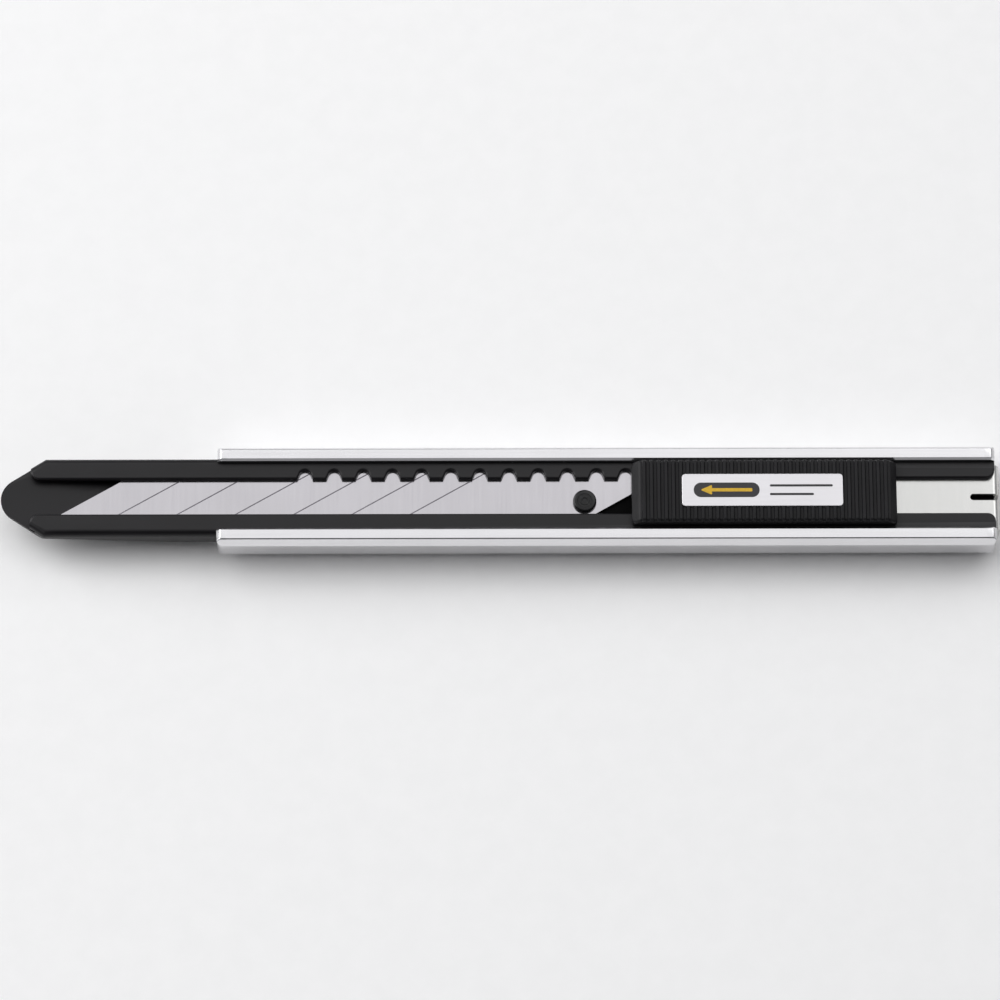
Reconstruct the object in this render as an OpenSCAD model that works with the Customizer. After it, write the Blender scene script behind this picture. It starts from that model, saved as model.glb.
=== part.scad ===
// Snap-off knife: a folded steel channel in a silver sleeve, a 9 mm scored blade
// on an auto-lock slider, and a pocket clip with a snapping slot at the rear.
// +X runs to the rear, +Y is the rack side, +Z is the thumb side.
// The knife lies on its clip: Z = 0 is the underside of the clip's arm.

/* [Knife] */
// Length from the nose tip to the end plate of the clip
overall_len = 137; // [136.6:0.1:137.4]
// Height of the sleeve's back above the surface the clip rests on
clip_room = 1.6; // [1.5:0.05:1.8]

/* [Sleeve] */
// Length of the silver sleeve
sleeve_len = 106.6; // [104:0.2:107]
// Width across the outer faces of the side rails
sleeve_w = 14.2; // [14:0.1:15]
// Thickness of the back plate
back_t = 0.7; // [0.6:0.05:0.8]
// Thickness of the rail lips that hold the channel down
rail_t = 1; // [0.8:0.05:1.1]
// Clear width between the two rail lips
front_open_w = 9.7; // [9.6:0.1:9.8]
// Width of the bevel along each rail
bevel_w = 0.61; // [0.4:0.01:0.7]
// Height of the bevel along each rail
bevel_h = 1.35; // [1:0.05:1.5]
// Chamfer along the inner edge of each rail
inner_chamfer = 0.28; // [0.2:0.02:0.3]

/* [Channel] */
// Outer width of the folded channel
channel_w = 11.2; // [11:0.1:11.4]
// Outer height of the channel
channel_h = 3.7; // [3.6:0.05:3.8]
// Thickness of its sheet
sheet_t = 0.8; // [0.7:0.05:0.8]
// Outer radius of its folds
fold_r = 0.9; // [0.85:0.05:1.1]
// Clear width of the window between the guide lips
window_w = 5; // [4.9:0.05:5.1]
// Angle between the nose edges and the knife's axis, degrees
nose_angle = 32.5; // [31:0.5:34]
// Distance from the tip to where the nose reaches full width
nose_len = 6.1; // [6:0.1:6.2]
// Chamfer on the guide lips along the flanks of the nose
lip_chamfer = 0.75; // [0.6:0.05:0.8]
// Distance from the tip to the front ends of the guide lips
lip_setback = 4.1; // [4:0.1:4.3]
// Height of the channel at the bend of its nose ramp
nose_h = 2.3; // [2.3:0.05:2.4]

/* [Rack] */
// Distance between neighbouring notches
notch_pitch = 4; // [3.9:0.05:4.1]
// Number of notches in the guide lip
notch_count = 13; // [13:1:13]
// Depth of a notch from the edge of the lip
notch_depth = 1.3; // [1.2:0.05:1.35]
// Radius of a notch's root
notch_r = 0.82; // [0.76:0.02:0.84]
// Width of a notch at its mouth
notch_mouth = 2.15; // [2.1:0.05:2.3]

/* [Blade] */
// Width of the blade
blade_w = 9; // [9:0.1:9]
// Thickness of the blade
blade_t = 0.38; // [0.36:0.01:0.4]
// Angle of the cutting tip, degrees
blade_angle = 30; // [29:0.5:31]
// Length of one snap-off segment
segment_len = 8; // [7.8:0.1:8.2]
// Number of score lines
score_count = 6; // [4:1:6]
// Depth of a score line
score_depth = 0.12; // [0.08:0.01:0.14]
// Length of the cutting edge from the tip to the slanted end of the tang
edge_len = 73.3; // [73:0.1:73.8]

/* [Slider] */
// Length of the thumb slider at its foot
slider_len = 36.2; // [36:0.1:36.4]
// Width of the thumb slider
slider_w = 8.9; // [8.6:0.1:9]
// Height of the thumb slider above the guide lips
slider_h = 2.4; // [2.3:0.05:2.5]
// Distance between neighbouring ribs
rib_pitch = 1; // [0.95:0.05:1.1]
// Width of a rib
rib_w = 0.6; // [0.5:0.05:0.65]
// Height of a rib
rib_h = 0.3; // [0.2:0.05:0.3]
// Length of the label
label_len = 22.1; // [22:0.05:22.4]
// Width of the label
label_w = 4.75; // [4.6:0.05:4.9]

/* [Clip] */
// Width of the clip's strip
strip_w = 9.4; // [9.2:0.1:9.4]
// Thickness of the clip's strip
strip_t = 0.6; // [0.5:0.05:0.6]
// Length of the tongue that plugs into the channel
tongue_len = 15.8; // [15:0.1:15.8]
// Length of the arm along the back of the knife
arm_len = 66; // [64:1:68]
// Width of the snapping slot
slot_w = 0.85; // [0.7:0.05:1]
// Length of the snapping slot from the end plate's outer face
slot_len = 4; // [3.5:0.1:4.5]

/* [Hidden] */
$fn = 48;

// Clearances
fit = 0.05;
cut = 1;

// Stations along X
nose_x = -overall_len / 2;
rear_x = overall_len / 2;
channel_end = rear_x - strip_t - fit;
sleeve_x = channel_end - sleeve_len;
lip_x = nose_x + lip_setback;
bend_x = nose_x + 7.6;
taper_x = nose_x + 23.5;

// Levels along Z
channel_z = clip_room + back_t;
lip_top = channel_z + channel_h;
lip_under = lip_top - sheet_t;
floor_top = channel_z + sheet_t;
front_z = lip_top + fit + rail_t;
blade_top = lip_under - fit;
blade_z = blade_top - blade_t;
bend_z = lip_top - nose_h;
ramp_rise = blade_z - 0.08 - bend_z - sheet_t;
tip_t = 0.5;

// Half widths along Y
channel_in = channel_w / 2 - sheet_t;
nose_flank = channel_w / 2 - nose_len * tan(nose_angle);
tip_r = nose_flank * cos(nose_angle) / (1 - sin(nose_angle));

// Blade
edge_y = -4.3;
tip_x = nose_x + 4.86;
blade_len = 83.1;
blade_end = tip_x + blade_len;
slant = 1 / tan(blade_angle);
grind_w = 1.2;

// Slider
slider_x = nose_x + 86.55;
slider_z = lip_top + fit;
slider_top = slider_z + slider_h;
deck_z = slider_top - rib_h;
front_slope = 1.05;
rear_slope = 0.9;
end_wall_z = slider_z + 1.1;
side_r = 0.45;
label_x = slider_x + 17.8;
label_t = 0.35;
label_r = 0.55;
lock_x = slider_x + 3.2;
neck_x = slider_x + 6;
neck_len = 26;
neck_w = window_w - 0.3;
carrier_x = nose_x + 77;
carrier_end = rear_x - strip_t - fit - tongue_len - 0.3;
carrier_block_x = blade_end + 0.4;
pin_x = nose_x + 80.1;
pin_y = -0.63;
pin_r = 1.2;
pin_head_r = 1.62;
pin_head_h = 0.72;
rivet_xs = [slider_x + 16, slider_x + 29];
rivet_r = 0.8;
body_rivet_xs = [nose_x + 36.5, nose_x + 62.5, nose_x + 126.5];
body_rivet_r = 1;
body_rivet_head = 0.3;
rivet_grip = 1.2;

// Lock parts
tooth_tip = window_w / 2 + notch_depth - 0.15;
tooth_r = 0.6;
tooth_plate_t = 0.8;
tooth_back = -0.5;
tooth_w = 2.9;
tooth_reach = 1.7;
press = 1.3;
pocket_z = slider_z + tooth_plate_t + 0.2;
spring_t = 0.2;
spring_y = -2.6;
spring_end = lock_x + 9.4;

// Clip
bend_r = 0.9;
tongue_top = lip_under - fit;
tongue_x = channel_end - tongue_len + fit;
arm_tip = rear_x - arm_len;
arm_rise = clip_room - fit - strip_t;

// Points on an arc from angle a0 to a1
function arc(x, y, r, a0, a1, n = 8) = [
    for (i = [0:n]) [x + r * cos(a0 + (a1 - a0) * i / n), y + r * sin(a0 + (a1 - a0) * i / n)]
];

// Turns a YZ section into a bar that starts at x0
module bar(x0, len) {
    translate([x0, 0, 0]) rotate([90, 0, 90]) linear_extrude(len) children();
}

// Turns an XZ profile into a plate that is w wide and centred on the axis
module slab(w) {
    rotate([90, 0, 0]) linear_extrude(w, center = true) children();
}

// A box from its low corner to its high corner
module block(low, high) {
    translate(low) cube(high - low);
}

// A rectangle with four rounded corners, centred on the origin
module rounded_rect(len, wid, r) {
    polygon(concat(
        arc(len / 2 - r, wid / 2 - r, r, 0, 90),
        arc(-len / 2 + r, wid / 2 - r, r, 90, 180),
        arc(-len / 2 + r, -wid / 2 + r, r, 180, 270),
        arc(len / 2 - r, -wid / 2 + r, r, 270, 360)
    ));
}

// Outer section of the sleeve, with rounded bottom edges and bevelled rails
module sleeve_section() {
    half = sleeve_w / 2;
    r = 0.8;
    polygon(concat(
        arc(half - r, clip_room + r, r, 270, 360),
        [[half, front_z - bevel_h], [half - bevel_w, front_z]],
        [[-half + bevel_w, front_z], [-half, front_z - bevel_h]],
        arc(-half + r, clip_room + r, r, 180, 270)
    ));
}

// Side view of the sleeve, with bevelled front corners and rounded back corners
module sleeve_side() {
    bevel = 0.5;
    r = 1.5;
    polygon(concat(
        arc(sleeve_x + r, clip_room + r, r, 270, 180),
        [[sleeve_x, front_z - bevel], [sleeve_x + bevel, front_z]],
        [[channel_end - bevel, front_z], [channel_end, front_z - bevel]],
        arc(channel_end - r, clip_room + r, r, 0, -90)
    ));
}

module outer_sleeve() {
    side = channel_w / 2 + fit;
    mouth = front_open_w / 2;
    plan_r = 0.7;
    color("gainsboro") difference() {
        intersection() {
            bar(sleeve_x, sleeve_len) sleeve_section();
            slab(sleeve_w + cut) sleeve_side();
            translate([sleeve_x + sleeve_len / 2, 0, 0])
                linear_extrude(front_z + cut) rounded_rect(sleeve_len, sleeve_w, plan_r);
        }
        bar(sleeve_x - cut, sleeve_len + 2 * cut) polygon([
            [-side, channel_z], [side, channel_z], [side, lip_top + fit], [mouth, lip_top + fit],
            [mouth, front_z - inner_chamfer], [mouth + inner_chamfer + cut, front_z + cut],
            [-mouth - inner_chamfer - cut, front_z + cut], [-mouth, front_z - inner_chamfer],
            [-mouth, lip_top + fit], [-side, lip_top + fit]
        ]);
        for (x = body_rivet_xs) translate([x, 0, 0]) cylinder(r = body_rivet_r, h = channel_z + cut);
    }
}

// Height of the nose ramp's top face at station x
function ramp_z(x) = bend_z + sheet_t + ramp_rise * (bend_x - x) / (bend_x - nose_x);

// Side view of the channel: its floor rises towards the nose
module channel_side() {
    polygon([
        [channel_end, channel_z], [channel_end, lip_top], [nose_x, lip_top],
        [nose_x, ramp_z(nose_x) - tip_t], [bend_x, bend_z], [taper_x, channel_z]
    ]);
}

// Side view of the space between the channel's walls
module channel_space() {
    polygon([
        [channel_end + cut, floor_top], [channel_end + cut, lip_under], [nose_x - cut, lip_under],
        [nose_x - cut, ramp_z(nose_x - cut)], [bend_x, bend_z + sheet_t], [taper_x, floor_top]
    ]);
}

// Side view of the space above the nose plate, in front of the guide lips
module nose_space() {
    polygon([
        [lip_x, ramp_z(lip_x)], [lip_x, front_z], [nose_x - cut, front_z],
        [nose_x - cut, ramp_z(nose_x - cut)]
    ]);
}

// Plan view of the nose and the straight flanks behind it
module nose_plan() {
    half = channel_w / 2;
    polygon(concat(
        arc(nose_x + tip_r, 0, tip_r, 90 + nose_angle, 270 - nose_angle, 16),
        [[nose_x + nose_len, -half], [channel_end, -half], [channel_end, half]],
        [[nose_x + nose_len, half]]
    ));
}

// Plan view of the window between the guide lips, whose corners are rounded at both ends
module window_plan() {
    edge = window_w / 2;
    front_r = 1.2;
    rear_r = 1.1;
    polygon(concat(
        [[lip_x - cut, -edge - front_r], [lip_x, -edge - front_r]],
        arc(lip_x + front_r, -edge - front_r, front_r, 180, 90),
        arc(channel_end - rear_r, -edge - rear_r, rear_r, 90, 0),
        [[channel_end + cut, -edge - rear_r], [channel_end + cut, edge + rear_r]],
        arc(channel_end - rear_r, edge + rear_r, rear_r, 0, -90),
        arc(lip_x + front_r, edge + front_r, front_r, 270, 180),
        [[lip_x - cut, edge + front_r]]
    ));
}

// Cutter that chamfers one guide lip along the flank of the nose
module lip_corner() {
    translate([nose_x + nose_len, channel_w / 2, lip_top - lip_chamfer])
        rotate([0, 0, 180 + nose_angle]) rotate([45, 0, 0]) translate([-2 * cut, -nose_len, 0])
            cube([2 * nose_len, 2 * nose_len, nose_len]);
}

// Cutter for one notch: a round root whose sides flare straight to the mouth
module notch_cutter() {
    root_y = window_w / 2 + notch_depth - notch_r;
    flare = 12;
    waist = notch_r * cos(flare);
    waist_y = root_y + notch_r * sin(flare);
    mouth_y = window_w / 2;
    translate([0, root_y, 0]) cylinder(r = notch_r, h = channel_h);
    linear_extrude(channel_h) polygon([
        [-notch_mouth / 2, mouth_y - 2 * fit], [notch_mouth / 2, mouth_y - 2 * fit],
        [notch_mouth / 2, mouth_y], [waist, waist_y], [-waist, waist_y], [-notch_mouth / 2, mouth_y]
    ]);
}

module blade_channel() {
    color([0.2, 0.2, 0.21]) difference() {
        intersection() {
            bar(nose_x, channel_end - nose_x)
                translate([0, channel_z + channel_h / 2]) rounded_rect(channel_w, channel_h, fold_r);
            slab(channel_w + cut) channel_side();
            linear_extrude(front_z) nose_plan();
        }
        slab(2 * channel_in) channel_space();
        slab(channel_w + cut) nose_space();
        translate([0, 0, lip_under - fit]) linear_extrude(channel_h) window_plan();
        for (side = [0, 1]) mirror([0, side, 0]) lip_corner();
        for (i = [0:notch_count - 1])
            translate([lock_x - i * notch_pitch, 0, lip_under - fit]) notch_cutter();
        for (x = body_rivet_xs) translate([x, 0, 0]) cylinder(r = body_rivet_r, h = floor_top + fit);
    }
}

// Flush on the channel's floor, low round heads on the sleeve's back
module channel_rivets() {
    head_r = 1.7;
    color("silver") for (x = body_rivet_xs) translate([x, 0, 0]) rotate_extrude() polygon(concat(
        [[0, clip_room - body_rivet_head]],
        arc(head_r - body_rivet_head, clip_room, body_rivet_head, -90, 0, 6),
        [[body_rivet_r, clip_room], [body_rivet_r, floor_top], [0, floor_top]]
    ));
}

// Side view of the thumb slider between its foot and its deck
module slider_side() {
    end = slider_x + slider_len;
    polygon([
        [slider_x, slider_z], [slider_x, end_wall_z], [slider_x + front_slope, deck_z],
        [end - rear_slope, deck_z], [end, end_wall_z], [end, slider_z]
    ]);
}

// Section of the thumb slider with rounded top edges
module slider_section(top) {
    half = slider_w / 2;
    polygon(concat(
        [[-half, slider_z], [half, slider_z]],
        arc(half - side_r, top - side_r, side_r, 0, 90, 3),
        arc(-half + side_r, top - side_r, side_r, 90, 180, 3)
    ));
}

// Cross ribs over the whole deck of the thumb slider
module slider_ribs() {
    gap = 0.3;
    first = slider_x + front_slope + gap;
    last = slider_x + slider_len - rear_slope - rib_w - gap;
    for (x = [first : rib_pitch : last]) bar(x, rib_w) slider_section(slider_top);
}

module thumb_slider() {
    color([0.16, 0.16, 0.165]) difference() {
        union() {
            intersection() {
                slab(slider_w + cut) slider_side();
                bar(slider_x, slider_len) slider_section(deck_z);
            }
            slider_ribs();
            block([neck_x, -neck_w / 2, blade_top], [neck_x + neck_len, neck_w / 2, slider_z + fit]);
        }
        translate([label_x, 0, slider_top - label_t])
            linear_extrude(cut) rounded_rect(label_len, label_w, label_r);
        block(
            [lock_x - tooth_w / 2 - fit, tooth_back - press - 0.3, slider_z - cut],
            [lock_x + tooth_w / 2 + fit, tooth_tip + 0.15, pocket_z]
        );
        block([lock_x, spring_y - 0.7, slider_z - cut], [neck_x - fit, tooth_back, pocket_z]);
        block([lock_x, spring_y - 0.7, slider_z + fit], [spring_end + fit, tooth_back, pocket_z]);
        for (x = rivet_xs) translate([x, 0, 0]) cylinder(r = rivet_r, h = slider_z + rivet_grip);
    }
}

module slider_label() {
    color([0.87, 0.87, 0.88]) translate([label_x, 0, slider_top - label_t])
        linear_extrude(label_t) rounded_rect(label_len - 2 * fit, label_w - 2 * fit, label_r - fit);
}

// Tray under the blade, with a full-height block behind the tang
module blade_carrier() {
    half = channel_in - 0.1;
    color([0.1, 0.1, 0.105]) difference() {
        union() {
            block([carrier_x, -half, floor_top + fit], [carrier_end, half, blade_z]);
            block([carrier_block_x, -half, blade_z], [carrier_end, half, blade_top]);
        }
        translate([pin_x, pin_y, 0]) cylinder(r = pin_r, h = front_z);
        for (x = rivet_xs) translate([x, 0, 0]) {
            cylinder(r = rivet_r, h = front_z);
            translate([0, 0, floor_top]) cylinder(r1 = rivet_r * 2, r2 = rivet_r, h = rivet_r);
        }
    }
}

// Countersunk rivets that hold the carrier to the neck of the thumb slider
module carrier_rivets() {
    low = floor_top + fit;
    color("silver") for (x = rivet_xs) translate([x, 0, 0]) rotate_extrude() polygon([
        [0, low], [rivet_r * 2 - fit, low], [rivet_r, floor_top + rivet_r],
        [rivet_r, slider_z + rivet_grip], [0, slider_z + rivet_grip]
    ]);
}

// Mushroom-headed pin that holds the blade by the hole in its tang
module blade_pin() {
    rim = 0.3;
    boss_r = 0.62;
    boss_depth = 0.12;
    color([0.1, 0.1, 0.105]) translate([pin_x, pin_y, 0]) rotate_extrude() polygon([
        [0, floor_top + fit], [pin_r, floor_top + fit], [pin_r, blade_top], [pin_head_r, blade_top],
        [pin_head_r, blade_top + pin_head_h - rim], [pin_head_r - rim, blade_top + pin_head_h],
        [boss_r, blade_top + pin_head_h], [boss_r, blade_top + pin_head_h - boss_depth],
        [0, blade_top + pin_head_h - boss_depth]
    ]);
}

// Plan view of the blade: slanted tip, slanted tang with its hidden corner cut square
module blade_plan() {
    top_y = edge_y + blade_w;
    cut_y = edge_y + (blade_end - tip_x - edge_len) / slant;
    polygon([
        [tip_x, edge_y], [tip_x + edge_len, edge_y], [blade_end, cut_y],
        [blade_end, top_y], [tip_x + blade_w * slant, top_y]
    ]);
}

// V groove along one score line that meets the cutting edge at station x
module score(x) {
    translate([x, edge_y, blade_top]) rotate([0, 0, blade_angle]) translate([-cut, 0, 0])
        rotate([45, 0, 0]) translate([0, -score_depth / sqrt(2), -score_depth / sqrt(2)])
            cube([blade_w / sin(blade_angle) + 2 * cut, score_depth * sqrt(2), score_depth * sqrt(2)]);
}

// Wedges that leave the ground edge
module grind() {
    half = blade_t / 2;
    mid = blade_z + half;
    bar(tip_x - cut, edge_len + 4 * cut) {
        polygon([[edge_y - cut, mid], [edge_y, mid], [edge_y + grind_w, blade_z], [edge_y - cut, blade_z]]);
        polygon([
            [edge_y - cut, mid], [edge_y, mid], [edge_y + grind_w, blade_top], [edge_y - cut, blade_top]
        ]);
    }
}

module blade() {
    color([0.79, 0.79, 0.8]) difference() {
        translate([0, 0, blade_z]) linear_extrude(blade_t) blade_plan();
        grind();
        for (i = [1:score_count]) score(tip_x + i * segment_len);
        translate([pin_x, pin_y, 0]) cylinder(r = pin_r, h = front_z);
    }
}

// Sliding latch plate with a tooth that drops into the rack
module lock_tooth() {
    half = tooth_w / 2;
    color("darkgray") {
        block(
            [lock_x - half, tooth_back, slider_z + 2 * fit],
            [lock_x + half, tooth_tip, slider_z + 2 * fit + tooth_plate_t]
        );
        translate([lock_x, 0, blade_top + 2 * fit]) linear_extrude(slider_z - blade_top) {
            translate([0, tooth_tip - tooth_r]) circle(tooth_r);
            translate([-tooth_r, tooth_tip - tooth_reach]) square([2 * tooth_r, tooth_reach - tooth_r]);
        }
    }
}

// Leaf spring that presses the latch plate towards the rack
module lock_spring() {
    front_y = tooth_back - spring_t / 2 - fit;
    path = [
        for (i = [0:16]) let (a = 180 * i / 16)
            [lock_x + (spring_end - lock_x) * i / 16, spring_y + (front_y - spring_y) * (1 + cos(a)) / 2]
    ];
    side = [for (p = path) [p[0], p[1] - spring_t / 2]];
    other = [for (i = [len(path) - 1 : -1 : 0]) [path[i][0], path[i][1] + spring_t / 2]];
    color("silver") translate([0, 0, slider_z + 3 * fit])
        linear_extrude(tooth_plate_t - 2 * fit) polygon(concat(side, other));
}

// Side view of the clip: tongue, bend, end plate, bend, arm with a gripping crest
module clip_side() {
    in_r = bend_r - strip_t;
    bend_x = rear_x - bend_r;
    lip = 1;
    crest_from = arm_tip + 5;
    crest_to = arm_tip + 6;
    slope_end = arm_tip + 11;
    swell = 0.2;
    polygon(concat(
        [[tongue_x, tongue_top]],
        arc(bend_x, tongue_top - bend_r, bend_r, 90, 0),
        arc(bend_x, bend_r, bend_r, 0, -90),
        [[slope_end, 0], [crest_to, arm_rise], [crest_from, arm_rise], [arm_tip + lip, 0]],
        [[arm_tip, 0], [arm_tip, strip_t - swell], [crest_from - swell, arm_rise + strip_t]],
        [[crest_to + swell, arm_rise + strip_t], [slope_end + swell, strip_t]],
        arc(bend_x, bend_r, in_r, -90, 0),
        arc(bend_x, tongue_top - bend_r, in_r, 0, 90),
        [[tongue_x, tongue_top - strip_t]]
    ));
}

// Plan view of the arm: it narrows a little and has a round free end
module arm_plan() {
    tip_half = strip_w / 2 - 1;
    r = 2.5;
    full_x = rear_x - 8;
    polygon(concat(
        [[rear_x + cut, strip_w / 2], [full_x, strip_w / 2]],
        arc(arm_tip + r, tip_half - r, r, 90, 180),
        arc(arm_tip + r, -tip_half + r, r, 180, 270),
        [[full_x, -strip_w / 2], [rear_x + cut, -strip_w / 2]]
    ));
}

module pocket_clip() {
    slot_end = rear_x - slot_len + slot_w / 2;
    slot_z = tongue_top - 2.6;
    wall_end = channel_end - 1.5;
    color([0.82, 0.82, 0.83]) {
        difference() {
            intersection() {
                slab(strip_w) clip_side();
                union() {
                    linear_extrude(front_z) arm_plan();
                    block([tongue_x - cut, -strip_w, clip_room + 1], [rear_x + cut, strip_w, front_z]);
                }
            }
            translate([slot_end, 0, slot_z]) cylinder(r = slot_w / 2, h = front_z);
            block([slot_end, -slot_w / 2, slot_z], [rear_x + cut, slot_w / 2, front_z]);
        }
        for (side = [-1, 1]) translate([0, side * (strip_w - strip_t) / 2, 0])
            slab(strip_t) polygon([
                [tongue_x + 1, tongue_top - strip_t], [tongue_x + 1, floor_top + fit],
                [wall_end, floor_top + fit], [wall_end, tongue_top - strip_t]
            ]);
    }
}

outer_sleeve();
blade_channel();
channel_rivets();
thumb_slider();
slider_label();
blade_carrier();
carrier_rivets();
blade_pin();
blade();
lock_tooth();
lock_spring();
pocket_clip();
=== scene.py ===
import math

import bmesh
import bpy
from mathutils import Matrix, Quaternion, Vector


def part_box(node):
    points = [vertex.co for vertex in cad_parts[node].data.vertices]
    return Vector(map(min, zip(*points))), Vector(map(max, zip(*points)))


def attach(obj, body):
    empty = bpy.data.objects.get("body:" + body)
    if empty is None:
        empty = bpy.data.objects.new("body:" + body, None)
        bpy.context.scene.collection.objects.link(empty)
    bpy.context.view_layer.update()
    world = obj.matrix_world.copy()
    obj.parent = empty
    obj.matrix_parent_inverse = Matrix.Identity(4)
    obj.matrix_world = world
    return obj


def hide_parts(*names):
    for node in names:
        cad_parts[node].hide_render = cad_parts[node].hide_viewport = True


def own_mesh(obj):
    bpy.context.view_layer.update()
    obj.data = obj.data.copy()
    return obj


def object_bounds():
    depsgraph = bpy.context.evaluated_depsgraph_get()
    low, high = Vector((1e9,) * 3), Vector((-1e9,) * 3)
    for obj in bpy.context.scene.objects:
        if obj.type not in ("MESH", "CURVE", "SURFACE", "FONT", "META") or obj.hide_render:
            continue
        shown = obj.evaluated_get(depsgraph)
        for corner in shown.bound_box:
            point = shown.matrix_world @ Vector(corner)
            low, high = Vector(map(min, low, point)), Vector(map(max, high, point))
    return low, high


# Looks of the snap-off knife. Every length is in metres, in the frame of the CAD model:
# +X runs to the rear end, +Y is the side with the rack of notches, +Z is the thumb side.

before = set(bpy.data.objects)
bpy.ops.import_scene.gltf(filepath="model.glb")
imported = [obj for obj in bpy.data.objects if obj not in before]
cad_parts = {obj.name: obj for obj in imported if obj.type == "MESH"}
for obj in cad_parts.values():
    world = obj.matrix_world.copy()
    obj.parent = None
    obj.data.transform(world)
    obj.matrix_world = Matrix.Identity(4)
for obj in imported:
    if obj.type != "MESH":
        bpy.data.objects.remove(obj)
cad_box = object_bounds()
MM = 0.001

# Sizes that the boxes of the CAD nodes do not give, by sub-part

# Clearance between fitting pieces, and the tiny flat at the axis of a turned piece
FIT = 0.05 * MM
AXIS = 0.02 * MM

# Sleeve: rails (the bevel as width and height), rounded and chamfered ends
RAIL_INNER = 4.85 * MM
RAIL_CHAMFER = 0.28 * MM
RAIL_BEVEL = (0.61 * MM, 1.35 * MM)
PLAN_CORNER = 0.7 * MM
BACK_CORNER = 1.5 * MM
END_CHAMFER = 0.5 * MM
END_SOFT = 0.06 * MM

# Channel: sheet, nose, setbacks of its bends from the nose, window and rack of notches,
# whose arcs stop NOTCH_FLARE degrees short of a half circle at each end
SHEET = 0.8 * MM
FOLD = 0.9 * MM
NOSE_LENGTH = 6.1 * MM
NOSE_ANGLE = math.radians(32.5)
LIP_SETBACK = 4.1 * MM
BEND_SETBACK = 7.6 * MM
TAPER_SETBACK = 23.5 * MM
BEND_FLOOR = 4.5 * MM
TIP_FLOOR = 4.69 * MM
TIP_THICKNESS = 0.5 * MM
WINDOW_HALF = 2.5 * MM
WINDOW_FRONT_R = 1.2 * MM
WINDOW_REAR_R = 1.1 * MM
LIP_EDGE = 0.3 * MM
LIP_CORNER = 0.9 * MM
NOTCH_PITCH = 4.0 * MM
NOTCH_COUNT = 13
NOTCH_DEPTH = 1.3 * MM
NOTCH_RADIUS = 0.82 * MM
NOTCH_MOUTH = 1.075 * MM
NOTCH_FLARE = 12
RIVET_SHANK = 1.0 * MM
RIVET_SETBACKS = (36.5 * MM, 62.5 * MM, 126.5 * MM)

# Blade: slant, score lines (depth and half width), ground edge
BLADE_ANGLE = math.radians(30)
SEGMENT = 8.0 * MM
SCORES = 6
SCORE_DEPTH = 0.16 * MM
SCORE_HALF = 0.16 * MM
GRIND = 1.2 * MM
EDGE_LENGTH = 73.3 * MM

# Pin
PIN_SHANK = 1.2 * MM
PIN_RIM = 0.34 * MM
PIN_STEP = 0.06 * MM

# Slider: sloped ends above short upright walls, ribs, and the neck through the window
FRONT_SLOPE = 1.05 * MM
REAR_SLOPE = 0.9 * MM
END_WALL = 1.1 * MM
SLIDER_CORNER = 0.38 * MM
SLIDER_EDGE = 0.45 * MM
RIB_PITCH = 1.0 * MM
RIB_WIDTH = 0.6 * MM
RIB_HEIGHT = 0.3 * MM
RIB_MARGIN = 0.3 * MM
NECK_SETBACK = 6 * MM
NECK_LENGTH = 26 * MM

# Label: print film, margin before the badge, badge (length and half width), bars
INK = 0.02 * MM
BADGE_MARGIN = 1.6 * MM
BADGE = (9 * MM, 1.05 * MM)
BAR_SETBACK = 10.4 * MM
BAR_HALF = 0.16 * MM
BAR_OFFSET = 0.62 * MM

# Latch spring: half the leaf's thickness
LEAF_HALF = 0.1 * MM

# Clip: strip, bends, slot, tongue, the arm's taper and round tip, and the crest near its tip
STRIP = 0.6 * MM
CLIP_BEND = 0.9 * MM
SLOT_HALF = 0.425 * MM
SLOT_LENGTH = 4.0 * MM
SLOT_DEPTH = 2.6 * MM
TONGUE = 16.4 * MM
TONGUE_CORNER = 0.5 * MM
ARM_STRAIGHT = 8 * MM
ARM_TAPER = 1 * MM
ARM_TIP = 2.5 * MM
CREST_REACH = 5.5 * MM

sleeve_low, sleeve_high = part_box("outer_sleeve")
channel_low, channel_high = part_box("blade_channel")
blade_low, blade_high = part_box("blade")
slider_low, slider_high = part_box("thumb_slider")
label_low, label_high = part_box("slider_label")
pin_low, pin_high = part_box("blade_pin")
clip_low, clip_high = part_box("pocket_clip")
tooth_low, tooth_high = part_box("lock_tooth")
spring_low, spring_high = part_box("lock_spring")
rivets_low, rivets_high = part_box("channel_rivets")


# ---------------------------------------------------------------- outlines


def arc(centre, radius, start, end, steps=8):
    """Points on an arc between two angles in degrees."""
    turns = [math.radians(start + (end - start) * i / steps) for i in range(steps + 1)]
    return [(centre[0] + radius * math.cos(t), centre[1] + radius * math.sin(t)) for t in turns]


def rounded(corners, steps):
    """The outline through corners (a, b, radius), with an arc at each corner that has a radius."""
    outline = []
    for i, (a, b, radius) in enumerate(corners):
        here = Vector((a, b))
        back = Vector(corners[i - 1][:2]) - here
        ahead = Vector(corners[(i + 1) % len(corners)][:2]) - here
        if radius == 0:
            outline.append((a, b))
            continue
        half = back.angle(ahead) / 2
        reach = min(radius / math.tan(half), 0.49 * back.length, 0.49 * ahead.length)
        centre = here + (back.normalized() + ahead.normalized()).normalized() * (reach / math.cos(half))
        start = here + back.normalized() * reach - centre
        end = here + ahead.normalized() * reach - centre
        for k in range(steps + 1):
            spoke = start.lerp(end, k / steps).normalized() * start.length
            outline.append((centre.x + spoke.x, centre.y + spoke.y))
    return outline


def at_x(x, outline):
    """A (y, z) outline at station x."""
    return [(x, y, z) for y, z in outline]


def at_z(z, outline):
    """An (x, y) outline at height z."""
    return [(x, y, z) for x, y in outline]


def stadium(x0, x1, half, radius):
    """Plan outline of a rectangle from x0 to x1 with rounded corners."""
    return rounded([(x0, -half, radius), (x1, -half, radius), (x1, half, radius), (x0, half, radius)], 6)


# ---------------------------------------------------------------- solids


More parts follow.
